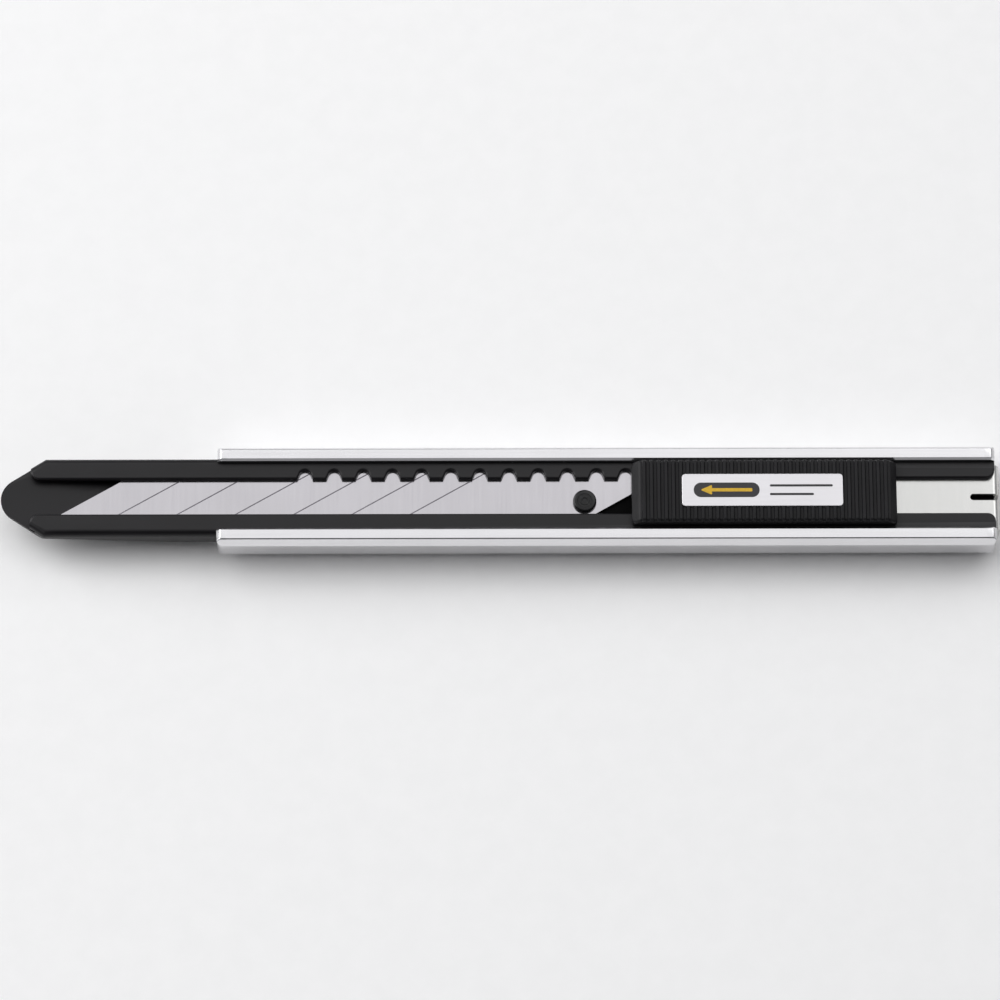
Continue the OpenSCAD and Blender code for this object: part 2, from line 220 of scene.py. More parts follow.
def loft(name, loops):
    """A closed solid through loops of equally many points, with both ends capped."""
    bm = bmesh.new()
    rings = [[bm.verts.new(point) for point in loop] for loop in loops]
    for ring, following in zip(rings, rings[1:]):
        for i in range(len(ring)):
            bm.faces.new((ring[i - 1], ring[i], following[i], following[i - 1]))
    bm.faces.new(rings[0][::-1])
    bm.faces.new(rings[-1])
    bmesh.ops.remove_doubles(bm, verts=bm.verts, dist=1e-7)
    bmesh.ops.dissolve_degenerate(bm, edges=bm.edges, dist=1e-7)
    bmesh.ops.recalc_face_normals(bm, faces=bm.faces)
    mesh = bpy.data.meshes.new(name)
    bm.to_mesh(mesh)
    bm.free()
    piece = bpy.data.objects.new(name, mesh)
    bpy.context.scene.collection.objects.link(piece)
    return piece


def plate(name, outline, low, high):
    """A plan outline between two heights."""
    return loft(name, [at_z(low, outline), at_z(high, outline)])


def lathe(name, x, y, profile):
    """A solid of revolution about a vertical axis through (x, y), from a profile of (radius, z)."""
    turns = [2 * math.pi * i / 64 for i in range(64)]
    return loft(name, [[(x + r * math.cos(t), y + r * math.sin(t), z) for t in turns] for r, z in profile])


def combine(piece, tool, operation="DIFFERENCE"):
    """Cuts the tool out of the piece, or keeps what both share, and removes the tool."""
    modifier = piece.modifiers.new("combine", "BOOLEAN")
    modifier.operation = operation
    modifier.object = tool
    modifier.solver = "EXACT"
    view = bpy.context.evaluated_depsgraph_get()
    mesh = bpy.data.meshes.new_from_object(piece.evaluated_get(view))
    piece.modifiers.clear()
    piece.data = mesh
    bpy.data.objects.remove(tool)


def join(name, parts):
    """One piece made of several closed solids."""
    bm = bmesh.new()
    for part in parts:
        bm.from_mesh(part.data)
        bpy.data.objects.remove(part)
    mesh = bpy.data.meshes.new(name)
    bm.to_mesh(mesh)
    bm.free()
    piece = bpy.data.objects.new(name, mesh)
    bpy.context.scene.collection.objects.link(piece)
    return piece


def soften(piece, width, angle):
    """Rounds the sharp edges of a piece and keeps its flat faces flat."""
    if width:
        bevel = piece.modifiers.new("edges", "BEVEL")
        bevel.width = width
        bevel.segments = 3
        bevel.limit_method = "ANGLE"
        bevel.angle_limit = math.radians(angle)
        bevel.use_clamp_overlap = True
    piece.data.polygons.foreach_set("use_smooth", [True] * len(piece.data.polygons))
    piece.data.set_sharp_from_angle(angle=math.radians(angle))
    normals = piece.modifiers.new("normals", "WEIGHTED_NORMAL")
    normals.keep_sharp = True


def place(piece, node, body, material):
    """Lets a piece stand for a CAD node and ride on its body."""
    piece.data.materials.clear()
    piece.data.materials.append(material)
    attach(piece, body)
    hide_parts(node)


# ---------------------------------------------------------------- sleeve


def sleeve_section(distance):
    """Section of the sleeve at a distance from its nearer end."""
    half = sleeve_high.y
    top = sleeve_high.z
    low = sleeve_low.z
    cavity = channel_high.y + FIT
    corner = max(0, PLAN_CORNER - distance)
    narrow = PLAN_CORNER - math.sqrt(PLAN_CORNER**2 - corner**2)
    slope = END_CHAMFER - distance
    drop = (slope + math.hypot(slope, END_SOFT)) / 2
    side = half - narrow
    shoulder = top - RAIL_BEVEL[1] * (1 - narrow / RAIL_BEVEL[0])
    top -= drop
    shoulder = min(shoulder, top - 2 * FIT)
    edge = half - RAIL_BEVEL[0] * (top - sleeve_high.z + RAIL_BEVEL[1]) / RAIL_BEVEL[1]
    edge = min(edge, side - FIT)
    right = [
        (side, low, 0.8 * MM), (side, shoulder, 0.14 * MM), (edge, top, 0.24 * MM),
        (RAIL_INNER + RAIL_CHAMFER, top, 0.04 * MM), (RAIL_INNER, top - RAIL_CHAMFER, 0.04 * MM),
        (RAIL_INNER, channel_high.z + FIT, 0.08 * MM),
        (cavity, channel_high.z + FIT, 0), (cavity, channel_low.z, 0),
    ]
    left = [(-y, z, r) for y, z, r in reversed(right)]
    return rounded(right + left, 3)


def back_corner(end, inward):
    """Cutter that rounds the lower corner of the side walls and the back plate at one end."""
    low = sleeve_low.z
    round_off = arc((BACK_CORNER, BACK_CORNER), BACK_CORNER, 180, 270, 12)
    outline = [(-MM, BACK_CORNER)] + round_off + [(BACK_CORNER, -MM), (-MM, -MM)]
    wide = sleeve_high.y + MM
    return loft("corner", [[(end + inward * a, y, low + b) for a, b in outline] for y in (-wide, wide)])


def build_sleeve(material):
    """C-shaped sleeve with bevelled rails, chamfered end faces and rounded back corners."""
    steps = [d * MM for d in (0, 0.03, 0.1, 0.2, 0.32, 0.44, 0.5, 0.56, 0.7, 0.9, 1.15, 1.5)]
    front = [(sleeve_low.x + d, d) for d in steps]
    rear = [(sleeve_high.x - d, d) for d in reversed(steps)]
    piece = loft("sleeve", [at_x(x, sleeve_section(d)) for x, d in front + rear])
    combine(piece, join("corners", [back_corner(sleeve_low.x, 1), back_corner(sleeve_high.x, -1)]))
    soften(piece, 0, 28)
    place(piece, "outer_sleeve", "handle", material)


# ---------------------------------------------------------------- channel


def channel_stations():
    """(x, underside, floor) where the channel's floor bends."""
    nose = channel_low.x
    return [
        (nose, TIP_FLOOR - TIP_THICKNESS, TIP_FLOOR),
        (nose + BEND_SETBACK, BEND_FLOOR - SHEET, BEND_FLOOR),
        (nose + TAPER_SETBACK, channel_low.z, channel_low.z + SHEET),
        (channel_high.x, channel_low.z, channel_low.z + SHEET),
    ]


def channel_outside(underside):
    """Outer section of the channel above a given underside."""
    half = channel_high.y
    top = channel_high.z
    bend = half - FOLD
    return (
        arc((-bend, underside + FOLD), FOLD, 180, 270)
        + arc((bend, underside + FOLD), FOLD, 270, 360)
        + arc((bend, top - FOLD), FOLD, 0, 90)
        + [(bend - FIT, top), (FIT - bend, top)]
        + arc((-bend, top - FOLD), FOLD, 90, 180)
    )


def channel_inside(floor):
    """Section of the space in the channel above a given floor."""
    half = channel_high.y - SHEET
    under = channel_high.z - SHEET
    return rounded([(-half, floor, FIT), (half, floor, FIT), (half, under, FIT), (-half, under, FIT)], 2)


def nose_outline():
    """Plan of the pointed nose and the straight flanks behind it."""
    half = channel_high.y
    nose = channel_low.x
    flank = half - NOSE_LENGTH * math.tan(NOSE_ANGLE)
    tip = flank * math.cos(NOSE_ANGLE) / (1 - math.sin(NOSE_ANGLE))
    turn = 90 + math.degrees(NOSE_ANGLE)
    rear = channel_high.x + MM
    return arc((nose + tip, 0), tip, turn, 360 - turn, 24) + [
        (nose + NOSE_LENGTH, -half - FIT), (rear, -half - FIT), (rear, half + FIT),
        (nose + NOSE_LENGTH, half + FIT)]


def notch(x):
    """Edge of the rack along one notch, from its rear side to its front side."""
    root = WINDOW_HALF + NOTCH_DEPTH - NOTCH_RADIUS
    rear = (x + NOTCH_MOUTH, WINDOW_HALF)
    front = (x - NOTCH_MOUTH, WINDOW_HALF)
    return [rear] + arc((x, root), NOTCH_RADIUS, NOTCH_FLARE, 180 - NOTCH_FLARE, 12) + [front]


def window_outline():
    """Plan of the window between the guide lips, with the rack along its +Y edge."""
    lips = channel_low.x + LIP_SETBACK
    rear = channel_high.x
    front_r = WINDOW_FRONT_R
    rear_r = WINDOW_REAR_R
    wide = channel_high.y + MM
    tooth_x = (tooth_low.x + tooth_high.x) / 2
    rack = [point for i in range(NOTCH_COUNT) for point in notch(tooth_x - i * NOTCH_PITCH)]
    return (
        [(channel_low.x - MM, -wide), (lips, -wide)]
        + arc((lips + front_r, -WINDOW_HALF - front_r), front_r, 180, 90)
        + arc((rear - rear_r, -WINDOW_HALF - rear_r), rear_r, 90, 0)
        + [(rear + MM, -WINDOW_HALF - rear_r), (rear + MM, WINDOW_HALF + rear_r)]
        + arc((rear - rear_r, WINDOW_HALF + rear_r), rear_r, 0, -90)
        + rack
        + arc((lips + front_r, WINDOW_HALF + front_r), front_r, 270, 180)
        + [(lips, wide), (channel_low.x - MM, wide)]
    )


def widened(outline, by):
    """An outline that runs anticlockwise, moved outwards by a distance, with mitred corners."""
    moved = []
    for i, point in enumerate(outline):
        here = Vector(point)
        before = (here - Vector(outline[i - 1])).normalized()
        after = (Vector(outline[(i + 1) % len(outline)]) - here).normalized()
        out = Vector((before.y + after.y, -before.x - after.x)).normalized()
        reach = by / max(0.5, Vector((before.y, -before.x)).dot(out))
        moved.append((here.x + out.x * reach, here.y + out.y * reach))
    return moved


def window_cutter():
    """Cutter for the window, flared at the top so that the edges of the lips come out rounded."""
    outline = window_outline()
    top = channel_high.z
    loops = [at_z(top - SHEET - FIT, outline)]
    for out, up in arc((LIP_EDGE, -LIP_EDGE), LIP_EDGE, 180, 90, 5):
        loops.append(at_z(top + up, widened(outline, out)))
    loops.append(at_z(top + MM, widened(outline, LIP_EDGE)))
    return loft("window", loops)


def lip_corner(side):
    """Cutter that rounds one guide lip along the flank of the nose."""
    start = Vector((channel_low.x + NOSE_LENGTH, channel_high.y))
    along = Vector((math.cos(NOSE_ANGLE), math.sin(NOSE_ANGLE)))
    inward = Vector((along.y, -along.x))
    top = channel_high.z
    levels = arc((LIP_CORNER, top - LIP_CORNER), LIP_CORNER, 180, 90, 6) + [(LIP_CORNER, top + MM)]
    loops = []
    for inset, z in levels:
        edge = start + inward * inset
        corners = [edge + along * 2 * MM, edge - along * 9 * MM]
        corners += [corner - inward * 3 * MM for corner in reversed(corners)]
        loops.append([(corner.x, side * corner.y, z) for corner in corners])
    return loft("corner", loops)


def build_channel(material):
    """Folded sheet channel: pointed nose ramp, two guide lips and a rack of notches."""
    stations = channel_stations()
    piece = loft("channel", [at_x(x, channel_outside(low)) for x, low, _ in stations])
    front, bend, taper, rear = [(x, floor) for x, _, floor in stations]
    slope = (front[1] - bend[1]) / (bend[0] - front[0])
    ends = [(front[0] - MM, front[1] + slope * MM), bend, taper, (rear[0] + MM, rear[1])]
    combine(piece, loft("space", [at_x(x, channel_inside(floor)) for x, floor in ends]))
    combine(piece, plate("nose", nose_outline(), 0, channel_high.z + MM), "INTERSECT")
    combine(piece, join("corners", [lip_corner(side) for side in (-1, 1)]))
    combine(piece, window_cutter())
    soften(piece, 0.05 * MM, 32)
    place(piece, "blade_channel", "handle", material)


def build_channel_rivets(material):
    """Three rivets with low round heads on the sleeve's back."""
    head = sleeve_low.z - rivets_low.z
    rim = rivets_high.y
    profile = [(AXIS, rivets_low.z)]
    profile += [(r, sleeve_low.z - z) for r, z in arc((rim - head, 0), head, 90, 0, 6)]
    profile += [(RIVET_SHANK, sleeve_low.z), (RIVET_SHANK, rivets_high.z), (AXIS, rivets_high.z)]
    rivets = [lathe("rivet", channel_low.x + setback, 0, profile) for setback in RIVET_SETBACKS]
    piece = join("channel_rivets_heads", rivets)
    soften(piece, 0, 35)
    place(piece, "channel_rivets", "handle", material)


# ---------------------------------------------------------------- blade


def blade_rows():
    """(distance from the edge, share of the thickness) of the lines along the blade."""
    width = blade_high.y - blade_low.y
    square = (blade_high.x - blade_low.x - EDGE_LENGTH) * math.tan(BLADE_ANGLE)
    return [(0, 0.03), (GRIND, 1), (square, 1), (width, 1)]


def blade_columns():
    """(place along the edge, depth of the score there) of the slanted lines across the blade."""
    columns = [(0, 0), (SEGMENT / 2, 0)]
    for i in range(1, SCORES + 1):
        columns += [(i * SEGMENT - SCORE_HALF, 0), (i * SEGMENT, SCORE_DEPTH), (i * SEGMENT + SCORE_HALF, 0)]
    return columns + [(EDGE_LENGTH, 0)]


def build_blade(material):
    """Blade strip with a slanted tip, V-shaped score lines and a ground edge."""
    slant = 1 / math.tan(BLADE_ANGLE)
    middle = (blade_low.z + blade_high.z) / 2
    half = blade_high.z - middle
    bm = bmesh.new()
    grids = []
    for side in (1, -1):
        grid = []
        for along, score in blade_columns():
            column = []
            for across, share in blade_rows():
                x = min(blade_low.x + along + across * slant, blade_high.x)
                depth = score if side > 0 and share == 1 else 0
                z = middle + side * (half * share - depth)
                column.append(bm.verts.new((x, blade_low.y + across, z)))
            grid.append(column)
        grids.append(grid)
    for grid in grids:
        for column, following in zip(grid, grid[1:]):
            for j in range(len(column) - 1):
                bm.faces.new((column[j], following[j], following[j + 1], column[j + 1]))
    top, bottom = grids
    rim_top = [c[0] for c in top] + top[-1][1:] + [c[-1] for c in reversed(top[:-1])] + top[0][-2:0:-1]
    rim_low = [c[0] for c in bottom] + bottom[-1][1:] + [c[-1] for c in reversed(bottom[:-1])]
    rim_low += bottom[0][-2:0:-1]
    for i in range(len(rim_top)):
        bm.faces.new((rim_top[i - 1], rim_top[i], rim_low[i], rim_low[i - 1]))
    bmesh.ops.remove_doubles(bm, verts=bm.verts, dist=1e-7)
    bmesh.ops.recalc_face_normals(bm, faces=bm.faces)
    mesh = bpy.data.meshes.new("blade_strip")
    bm.to_mesh(mesh)
    bm.free()
    piece = bpy.data.objects.new("blade_strip", mesh)
    bpy.context.scene.collection.objects.link(piece)
    soften(piece, 0, 20)
    place(piece, "blade", "slider", material)


def build_pin(material):
    """Mushroom-headed pin with a domed rim and a small ring on its head."""
    x = (pin_low.x + pin_high.x) / 2
    y = (pin_low.y + pin_high.y) / 2
    head = pin_high.x - x
    foot = blade_high.z
    top = pin_high.z
    ring = top - PIN_STEP
    dimple = ring - PIN_STEP
    profile = [(AXIS, pin_low.z), (PIN_SHANK, pin_low.z), (PIN_SHANK, foot), (head - PIN_STEP, foot)]
    profile += [(head, foot + PIN_STEP)]
    profile += arc((head - PIN_RIM, top - PIN_RIM), PIN_RIM, 0, 80, 6)
    profile += [(1.0 * MM, top), (0.95 * MM, ring), (0.66 * MM, ring), (0.62 * MM, top)]
    profile += [(0.42 * MM, top), (0.36 * MM, dimple), (AXIS, dimple)]
    piece = lathe("pin_head", x, y, profile)
    soften(piece, 0, 32)
    place(piece, "blade_pin", "slider", material)


# ---------------------------------------------------------------- slider


def slider_profile():
    """(x, z) along the top of the thumb slider: sloped ends and rounded ribs between them."""
    deck = slider_high.z - RIB_HEIGHT
    foot = channel_high.z + FIT
    rise = deck - foot - END_WALL
    ramp = [(i / 8, foot + END_WALL + rise * i / 8) for i in range(8)]
    points = [(slider_low.x + FRONT_SLOPE * share, z) for share, z in ramp]
    points.append((slider_low.x + FRONT_SLOPE + FIT, deck))
    first = slider_low.x + FRONT_SLOPE + RIB_MARGIN
    last = slider_high.x - REAR_SLOPE - RIB_WIDTH - RIB_MARGIN
    count = int((last - first) / RIB_PITCH) + 1
    shape = [(0, 0), (0.08, 0.75), (0.2, 1), (0.8, 1), (0.92, 0.75), (1, 0)]
    for i in range(count):
        start = first + i * RIB_PITCH
        points += [(start + RIB_WIDTH * a, deck + RIB_HEIGHT * b) for a, b in shape]
    points.append((slider_high.x - REAR_SLOPE - FIT, deck))
    return points + [(slider_high.x - REAR_SLOPE * share, z) for share, z in reversed(ramp)]


def slider_section(x, top):
    """Section of the thumb slider at station x, narrower near its rounded ends."""
    half = slider_high.y
    foot = channel_high.z + FIT
    near = min(x - slider_low.x, slider_high.x - x)
    corner = max(0, SLIDER_CORNER - near)
    half -= SLIDER_CORNER - math.sqrt(SLIDER_CORNER**2 - corner**2)
    upper = [(half, top, SLIDER_EDGE), (-half, top, SLIDER_EDGE)]
    return rounded([(-half, foot, FIT), (half, foot, FIT)] + upper, 5)


def build_slider(material):
    """Ribbed thumb slider with a recess for the label and a neck through the window."""
    body = loft("slider_body", [at_x(x, slider_section(x, z)) for x, z in slider_profile()])
    recess = stadium(label_low.x - FIT, label_high.x + FIT, label_high.y + FIT, 0.6 * MM)
    combine(body, plate("recess", recess, label_low.z, slider_high.z + MM))
    neck_x = slider_low.x + NECK_SETBACK
    neck = stadium(neck_x, neck_x + NECK_LENGTH, WINDOW_HALF - 3 * FIT, 0.4 * MM)
    neck_block = plate("neck", neck, slider_low.z, channel_high.z + 0.5 * MM)
    piece = join("slider_cover", [body, neck_block])
    soften(piece, 0, 38)
    place(piece, "thumb_slider", "slider", material)


def build_label(material, ink, accent):
    """Light plate let into the slider, with a generic slide arrow and two plain bars."""
    top = label_high.z - INK
    piece = plate("label_plate", stadium(label_low.x, label_high.x, label_high.y, 0.5 * MM), label_low.z, top)
    soften(piece, 0.06 * MM, 40)
    place(piece, "slider_label", "slider", material)
    start = label_low.x + BADGE_MARGIN
    length, half = BADGE
    badge = plate("label_badge", stadium(start, start + length, half, half - FIT), top, top + INK / 2)
    bar_x = start + BAR_SETBACK
    bars = []
    for length, offset in ((8.6 * MM, BAR_OFFSET), (6.0 * MM, -BAR_OFFSET)):
        bar = plate("bar", stadium(bar_x, bar_x + length, BAR_HALF, BAR_HALF - FIT / 5), top, top + INK / 2)
        bar.data.transform(Matrix.Translation((0, offset, 0)))
        bars.append(bar)
    tip, neck, tail = [start + x * MM for x in (0.9, 2.5, 8.0)]
    barb = 0.72 * MM
    shaft = 0.24 * MM
    blunt = 0.1 * MM
    arrow = [
        (tip, 0, blunt), (neck, -barb, blunt), (neck, -shaft, 0), (tail, -shaft, blunt),
        (tail, shaft, blunt), (neck, shaft, 0), (neck, barb, blunt),
    ]
    pointer = plate("label_arrow", rounded(arrow, 3), top + INK / 2, top + INK)
    print_dark = join("label_print", [badge] + bars)
    for mark, colour in ((print_dark, ink), (pointer, accent)):
        mark.data.materials.append(colour)
        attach(mark, "slider")


def build_lock_spring(material):
    """Bent leaf behind the latch."""
    back = spring_low.y + LEAF_HALF
    bow = spring_high.y - LEAF_HALF - back
    length = spring_high.x - spring_low.x
    turns = [math.pi * i / 16 for i in range(17)]
    path = [(spring_low.x + length * t / math.pi, back + bow * (1 + math.cos(t)) / 2) for t in turns]
    outline = [(x, y - LEAF_HALF) for x, y in path] + [(x, y + LEAF_HALF) for x, y in reversed(path)]
    piece = plate("spring_leaf", outline, spring_low.z, spring_high.z)
    soften(piece, 0, 40)
    place(piece, "lock_spring", "slider", material)
    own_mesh(piece)


# ---------------------------------------------------------------- clip


def strip(name, line, thickness, edge):
    """A strip swept along a line of (x, z, half width)."""
    loops = []
    t = thickness / 2
    path = [(x, z) for x, z, _ in line]
    for i, (x, z, half) in enumerate(line):
        ahead = Vector(path[min(i + 1, len(path) - 1)]) - Vector(path[max(i - 1, 0)])
        across = Vector((-ahead.y, ahead.x)).normalized()
        section = rounded([(-half, -t, edge), (half, -t, edge), (half, t, edge), (-half, t, edge)], 3)
        loops.append([(x + across.x * b, y, z + across.y * b) for y, b in section])
    return loft(name, loops)


def arm_half(x):
    """Half width of the clip's arm, which narrows towards its round tip."""
    start = clip_high.x - ARM_STRAIGHT
    share = max(0, (start - x) / (start - clip_low.x))
    corner = max(0, ARM_TIP - (x - clip_low.x))
    return clip_high.y - ARM_TAPER * share - ARM_TIP + math.sqrt(max(ARM_TIP**2 - corner**2, 0))


def clip_line():
    """Middle of the clip's strip as (x, z, half width): tongue, end plate, and arm with its crest."""
    t = STRIP / 2
    bend = CLIP_BEND - t
    rear = clip_high.x - CLIP_BEND
    level = clip_high.z - t
    base = clip_low.z + t
    wide = clip_high.y
    tongue = [(clip_high.x - TONGUE + i * 1.5 * MM, level, wide) for i in range(10)]
    tongue[0] = (clip_high.x - TONGUE, level, wide - TONGUE_CORNER)
    plate_line = arc((rear, level - bend), bend, 90, 0, 6) + arc((rear, base + bend), bend, 0, -90, 6)
    arm = [(rear - i * 4.5 * MM, base) for i in range(1, 12)]
    crest_x = clip_low.x + CREST_REACH
    rise = sleeve_low.z - FIT - STRIP
    for i in range(25):
        offset = CREST_REACH * (1 - i / 12)
        arm.append((crest_x + offset, base + rise * math.cos(math.pi * offset / CREST_REACH / 2) ** 2))
    return tongue + [(x, z, wide) for x, z in plate_line] + [(x, z, arm_half(x)) for x, z in arm]


def clip_rail(side):
    """Rail folded down along one side of the clip's tongue, which guides it in the channel."""
    low = channel_low.z + SHEET + FIT
    top = clip_high.z - STRIP / 2
    outer = side * clip_high.y
    inner = side * (clip_high.y - STRIP)
    outline = rounded([(outer, low, 0.1 * MM), (inner, low, 0.1 * MM), (inner, top, 0), (outer, top, 0)], 3)
    ends = (clip_high.x - TONGUE + MM, channel_high.x - 1.5 * MM)
    return loft("rail", [at_x(x, outline) for x in ends])


def build_clip(material):
    """Clip: plug-in tongue with a snapping slot, rear plate, and a long arm with a crest."""
    body = strip("strip", clip_line(), STRIP, 0.14 * MM)
    slot = stadium(clip_high.x - SLOT_LENGTH, clip_high.x + 2 * MM, SLOT_HALF, SLOT_HALF)
    combine(body, plate("slot", slot, clip_high.z - SLOT_DEPTH, clip_high.z + MM))
    piece = join("clip_strip", [body] + [clip_rail(side) for side in (-1, 1)])
    soften(piece, 0.06 * MM, 50)
    place(piece, "pocket_clip", "clip", material)


# ---------------------------------------------------------------- materials


def shader(name, colour, metallic, roughness):
    """A material with one Principled shader, with its nodes, its links and that shader."""
    material = bpy.data.materials.new(name)
    material.use_nodes = True
    nodes = material.node_tree.nodes
    principled = nodes["Principled BSDF"]
    principled.inputs["Base Color"].default_value = (*colour, 1)
    principled.inputs["Metallic"].default_value = metallic
    principled.inputs["Roughness"].default_value = roughness
    return material, nodes, material.node_tree.links, principled


def noise(nodes, links, scale, stretch, detail=4):
    """A noise texture in the piece's own coordinates; a low stretch value makes long streaks."""
    place_node = nodes.new("ShaderNodeTexCoord")
    mapping = nodes.new("ShaderNodeMapping")
    texture = nodes.new("ShaderNodeTexNoise")
    mapping.inputs["Scale"].default_value = [scale * s for s in stretch]
    texture.inputs["Scale"].default_value = 1
    texture.inputs["Detail"].default_value = detail
    links.new(place_node.outputs["Object"], mapping.inputs["Vector"])
    links.new(mapping.outputs["Vector"], texture.inputs["Vector"])
    return texture.outputs["Fac"]


def blend_colours(nodes, links, share, dark, light):
    """A colour between two, chosen by a texture value."""
    ramp = nodes.new("ShaderNodeValToRGB")
    ramp.color_ramp.elements[0].position = 0.35
    ramp.color_ramp.elements[1].position = 0.65
    ramp.color_ramp.elements[0].color = (*dark, 1)
    ramp.color_ramp.elements[1].color = (*light, 1)
    links.new(share, ramp.inputs["Fac"])
    return ramp.outputs["Color"]


def spread(nodes, links, share, low, high):
    """A number between low and high, chosen by a texture value."""
    mapped = nodes.new("ShaderNodeMapRange")
    mapped.inputs["From Min"].default_value = 0.3
    mapped.inputs["From Max"].default_value = 0.7
    mapped.inputs["To Min"].default_value = low
    mapped.inputs["To Max"].default_value = high
    links.new(share, mapped.inputs["Value"])
    return mapped.outputs["Result"]


def relief(nodes, links, principled, share, height, strength=1):
    """Bumps of a given height from a texture value."""
    bump = nodes.new("ShaderNodeBump")
    bump.inputs["Strength"].default_value = strength
    bump.inputs["Distance"].default_value = height
    links.new(share, bump.inputs["Height"])
    links.new(bump.outputs["Normal"], principled.inputs["Normal"])


def tinted(colour, factor):
    """A colour made darker or lighter."""
    return tuple(min(1, c * factor) for c in colour)


def brushed_metal(name, colour, roughness, stretch, contrast=0.05, height=0.004 * MM):
    """Satin metal with fine streaks along one direction."""
    material, nodes, links, principled = shader(name, colour, 1, roughness)
    streaks = noise(nodes, links, 2600, stretch)
    clouds = noise(nodes, links, 130, (1, 1, 1), 2)
    mixed = nodes.new("ShaderNodeMath")
    mixed.operation = "MULTIPLY_ADD"
    mixed.inputs[1].default_value = 0.5
    links.new(clouds, mixed.inputs[0])
    half = nodes.new("ShaderNodeMath")
    half.operation = "MULTIPLY"
    half.inputs[1].default_value = 0.5
    links.new(streaks, half.inputs[0])
    links.new(half.outputs[0], mixed.inputs[2])
    dark = tinted(colour, 1 - contrast)
    light = tinted(colour, 1 + contrast)
    links.new(blend_colours(nodes, links, mixed.outputs[0], dark, light), principled.inputs["Base Color"])
    uneven = spread(nodes, links, streaks, roughness * 0.95, roughness * 1.05)
    links.new(uneven, principled.inputs["Roughness"])
    relief(nodes, links, principled, streaks, height)
    return material


def coated_black(name, colour, roughness, wear):
    """Satin black coating with a faint orange peel, rubbed lighter along its edges."""
    material, nodes, links, principled = shader(name, colour, 0, roughness)
    principled.inputs["Specular IOR Level"].default_value = 0.36
    peel = noise(nodes, links, 2200, (1, 1, 1), 3)
    patches = noise(nodes, links, 240, (0.4, 1, 1), 5)
    geometry = nodes.new("ShaderNodeNewGeometry")
    edges = nodes.new("ShaderNodeMapRange")
    edges.inputs["From Min"].default_value = 0.54
    edges.inputs["From Max"].default_value = 0.72
    links.new(geometry.outputs["Pointiness"], edges.inputs["Value"])
    rubbed = nodes.new("ShaderNodeMath")
    rubbed.operation = "MULTIPLY"
    links.new(edges.outputs["Result"], rubbed.inputs[0])
    links.new(patches, rubbed.inputs[1])
    tone = nodes.new("ShaderNodeMix")
    tone.data_type = "RGBA"
    tone.inputs["B"].default_value = (*wear, 1)
    base = blend_colours(nodes, links, patches, tinted(colour, 0.85), tinted(colour, 1.15))
    links.new(rubbed.outputs[0], tone.inputs["Factor"])
    links.new(base, tone.inputs["A"])
    links.new(tone.outputs["Result"], principled.inputs["Base Color"])
    uneven = spread(nodes, links, patches, roughness * 0.88, roughness * 1.12)
    links.new(uneven, principled.inputs["Roughness"])
    relief(nodes, links, principled, peel, 0.006 * MM, 0.6)
    return material


def moulded_plastic(name, colour, roughness, specular=0.25):
    """Dark moulded plastic with a fine spark-eroded texture."""
    material, nodes, links, principled = shader(name, colour, 0, roughness)
    principled.inputs["Specular IOR Level"].default_value = specular
    grain = noise(nodes, links, 6000, (1, 1, 1), 2)
    patches = noise(nodes, links, 300, (1, 1, 1), 4)
    links.new(blend_colours(nodes, links, patches, tinted(colour, 0.8), tinted(colour, 1.2)),
              principled.inputs["Base Color"])
    uneven = spread(nodes, links, grain, roughness * 0.9, roughness * 1.1)
    links.new(uneven, principled.inputs["Roughness"])
    relief(nodes, links, principled, grain, 0.01 * MM, 0.5)
    return material


def label_ink(name, colour):
    """Matt printing ink with a slightly uneven film."""
    material, nodes, links, principled = shader(name, colour, 0, 0.5)
    film = noise(nodes, links, 3000, (1, 1, 1), 3)
    links.new(blend_colours(nodes, links, film, tinted(colour, 0.92), tinted(colour, 1.08)),
              principled.inputs["Base Color"])
    links.new(spread(nodes, links, film, 0.45, 0.55), principled.inputs["Roughness"])
    return material


def dress(node, material):
    """Gives a CAD node that stays a material of its own."""
    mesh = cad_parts[node].data
    mesh.materials.clear()
    mesh.materials.append(material)


# ---------------------------------------------------------------- studio

# Brightness of the room around the knife and of its upper front, and half the floor's width
AMBIENT = 0.34
DARK_FRONT = 0.04
FLOOR_HALF = 3


def add_light(name, place_at, target, size, power):
    """A soft rectangular light that faces a target."""
    data = bpy.data.lights.new(name, "AREA")
    data.shape = "RECTANGLE"
    data.size, data.size_y = size
    data.energy = power
    light = bpy.data.objects.new(name, data)
    light.location = place_at
    light.rotation_euler = (Vector(target) - Vector(place_at)).to_track_quat("-Z", "Y").to_euler()
    bpy.context.scene.collection.objects.link(light)


def smooth_step(nodes, links, value, source, target):
    """A value carried smoothly from one range to another."""
    step = nodes.new("ShaderNodeMapRange")
    step.interpolation_type = "SMOOTHSTEP"
    step.inputs["From Min"].default_value, step.inputs["From Max"].default_value = source
    step.inputs["To Min"].default_value, step.inputs["To Max"].default_value = target
    links.new(value, step.inputs["Value"])
    return step.outputs["Result"]


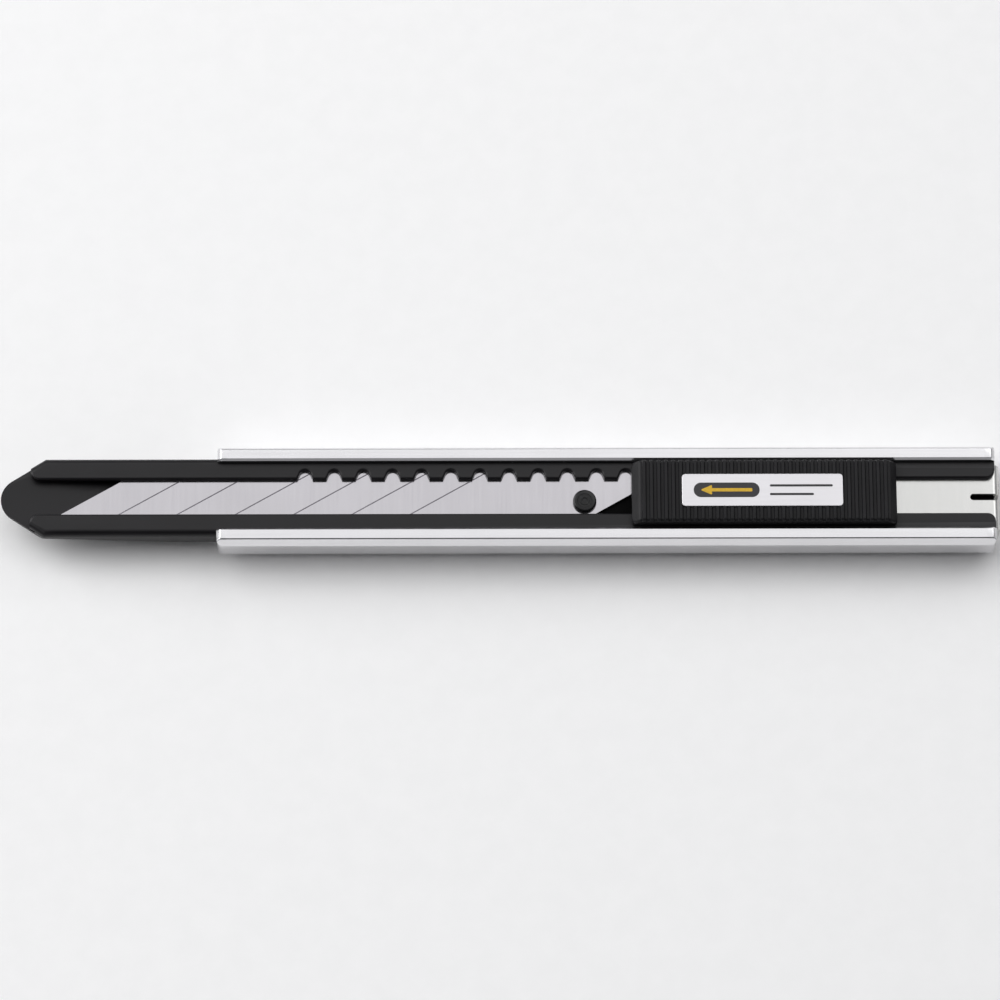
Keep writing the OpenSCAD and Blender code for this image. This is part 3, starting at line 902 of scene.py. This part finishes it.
def build_studio():
    """Pale floor, a softbox above, a panel on each side, and a room that is darker high in front."""
    scene = bpy.context.scene
    scene.view_settings.view_transform = "Standard"
    world = bpy.data.worlds.new("studio")
    scene.world = world
    world.use_nodes = True
    nodes = world.node_tree.nodes
    links = world.node_tree.links
    background = nodes["Background"]
    background.inputs["Color"].default_value = (0.97, 0.97, 1.0, 1)
    direction = nodes.new("ShaderNodeSeparateXYZ")
    links.new(nodes.new("ShaderNodeTexCoord").outputs["Generated"], direction.inputs["Vector"])
    behind = smooth_step(nodes, links, direction.outputs["Y"], (-0.4, 0.0), (0, 1))
    low = smooth_step(nodes, links, direction.outputs["Z"], (0.35, 0.6), (1, 0))
    brighter = nodes.new("ShaderNodeMath")
    brighter.operation = "MAXIMUM"
    links.new(behind, brighter.inputs[0])
    links.new(low, brighter.inputs[1])
    strength = smooth_step(nodes, links, brighter.outputs[0], (0, 1), (DARK_FRONT, AMBIENT))
    links.new(strength, background.inputs["Strength"])
    material, nodes, links, principled = shader("floor_paper", (0.96, 0.96, 0.96), 0, 0.9)
    fibres = noise(nodes, links, 300, (1, 1, 1), 3)
    links.new(blend_colours(nodes, links, fibres, (0.95, 0.95, 0.95), (0.97, 0.97, 0.97)),
              principled.inputs["Base Color"])
    half = FLOOR_HALF
    floor = plate("floor", [(-half, -half), (half, -half), (half, half), (-half, half)], -0.01, 0)
    floor.data.materials.append(material)
    centre = (0, 0, 0)
    add_light("softbox", (0.1, 0.35, 1.0), centre, (1.6, 0.8), 2.7)
    add_light("panel_left", (-1.1, 0.45, 0.8), centre, (1.4, 1.3), 19)
    add_light("panel_right", (0.7, 1.0, 1.2), centre, (1.4, 1.2), 5)


def add_camera():
    """Camera of the photograph: a long lens, 71.5 degrees above the floor."""
    data = bpy.data.cameras.new("camera")
    data.lens = 183
    data.sensor_width = 36
    camera = bpy.data.objects.new("camera", data)
    bpy.context.scene.collection.objects.link(camera)
    bpy.context.scene.camera = camera
    low, high = cad_box
    centre = (low + high) / 2
    elevation = math.radians(71.45)
    distance = 0.698
    roll = math.radians(0.1)
    back = Vector((0, -math.cos(elevation), math.sin(elevation)))
    camera.location = centre + back * distance
    camera.rotation_mode = "QUATERNION"
    camera.rotation_quaternion = (-back).to_track_quat("-Z", "Y") @ Quaternion((0, 0, 1), -roll)


def build_knife():
    """Every piece with its material."""
    black = coated_black("black_coating", (0.0048, 0.0042, 0.0054), 0.38, (0.05, 0.05, 0.052))
    steel = brushed_metal("ground_steel", (0.57, 0.555, 0.58), 0.16, (1, 0.05, 1), 0.035)
    build_sleeve(brushed_metal("satin_aluminium", (0.755, 0.75, 0.765), 0.22, (0.02, 1, 1), 0.03, 0.002 * MM))
    build_channel(black)
    build_channel_rivets(brushed_metal("rivet_aluminium", (0.7, 0.7, 0.72), 0.35, (1, 1, 1)))
    build_blade(steel)
    build_pin(coated_black("pin_coating", (0.004, 0.004, 0.0045), 0.28, (0.04, 0.04, 0.04)))
    build_slider(moulded_plastic("slider_plastic", (0.007, 0.0068, 0.008), 0.48))
    label = brushed_metal("label_metal", (0.7, 0.69, 0.71), 0.36, (0.05, 1, 1), 0.03)
    dark = label_ink("ink_dark", (0.022, 0.021, 0.024))
    amber = label_ink("ink_amber", (0.66, 0.4, 0.015))
    build_label(label, dark, amber)
    build_clip(brushed_metal("clip_steel", (0.645, 0.645, 0.63), 0.26, (1, 0.05, 1), 0.02, 0.0006 * MM))
    # Painted shade: the carrier's plastic is darker and duller than the slider's, standing in for the deep
    # shadow under the tang
    dress("blade_carrier", moulded_plastic("carrier_plastic_painted_shade", (0.002, 0.002, 0.002), 0.75, 0.05))
    dress("carrier_rivets", brushed_metal("rivet_steel", (0.6, 0.6, 0.6), 0.35, (1, 1, 1)))
    dress("lock_tooth", brushed_metal("tumbled_steel", (0.5, 0.5, 0.51), 0.4, (1, 1, 1), 0.12))
    build_lock_spring(brushed_metal("spring_steel", (0.55, 0.54, 0.52), 0.25, (0.05, 1, 1)))


build_knife()
build_studio()
add_camera()
